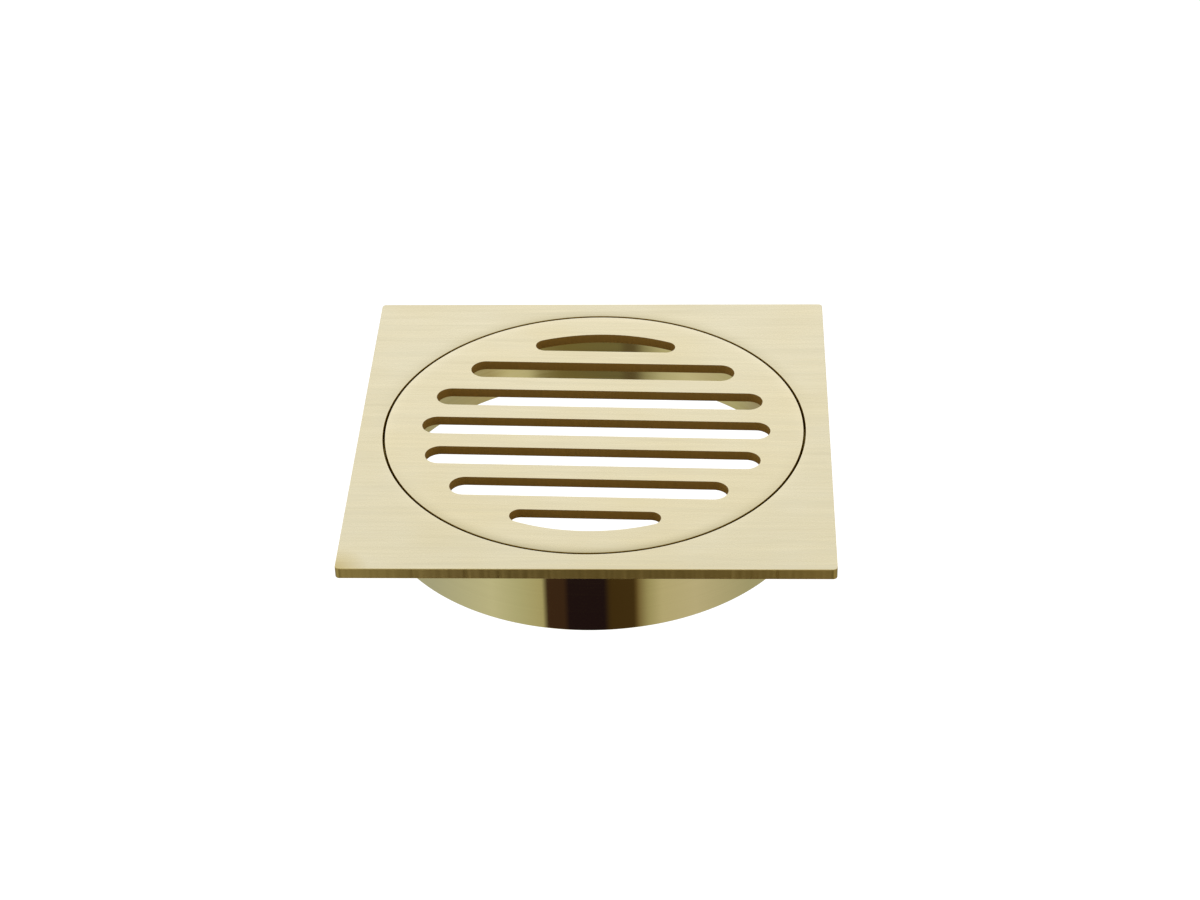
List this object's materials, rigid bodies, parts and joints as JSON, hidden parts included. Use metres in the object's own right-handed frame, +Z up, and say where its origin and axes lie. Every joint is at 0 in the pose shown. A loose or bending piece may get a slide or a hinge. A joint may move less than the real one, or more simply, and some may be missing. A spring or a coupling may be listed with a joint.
{
  "type": "floor drain grate",
  "caption": "Square floor drain cover plate with a loose round slotted grate resting on a seat inside a short round outlet spigot.",
  "frame": {"origin": "centre of the spigot's bottom rim, where the drain stands on a flat surface", "axes": "+Z up along the spigot's axis, out of the drain; +X along the slots, parallel to the plate's front edge; +Y from the front edge to the back edge"},
  "size_m": [0.11, 0.11, 0.0198],
  "materials": {
    "brushed_brass": "fine straight brushing, satin pale gold",
    "polished_brass": "mirror polish, pale gold",
    "black_rubber": "matt moulded"
  },
  "bodies": {
    "frame": {"frame_plate": "brushed_brass", "outlet_spigot": "polished_brass", "seat_ring": "polished_brass"},
    "cushion": {"cushion_ring": "black_rubber"},
    "grate": {"slotted_grate": "brushed_brass"}
  },
  "joints": [
    {"name": "grate_turn", "type": "hinge", "parent": "frame", "child": "cushion", "pos_m": [0, 0, 0.0167], "axis": [0, 0, 1], "continuous": true},
    {"name": "grate_lift", "type": "slide", "parent": "cushion", "child": "grate", "axis": [0, 0, 1], "range_m": [0, 0.04]}
  ]
}
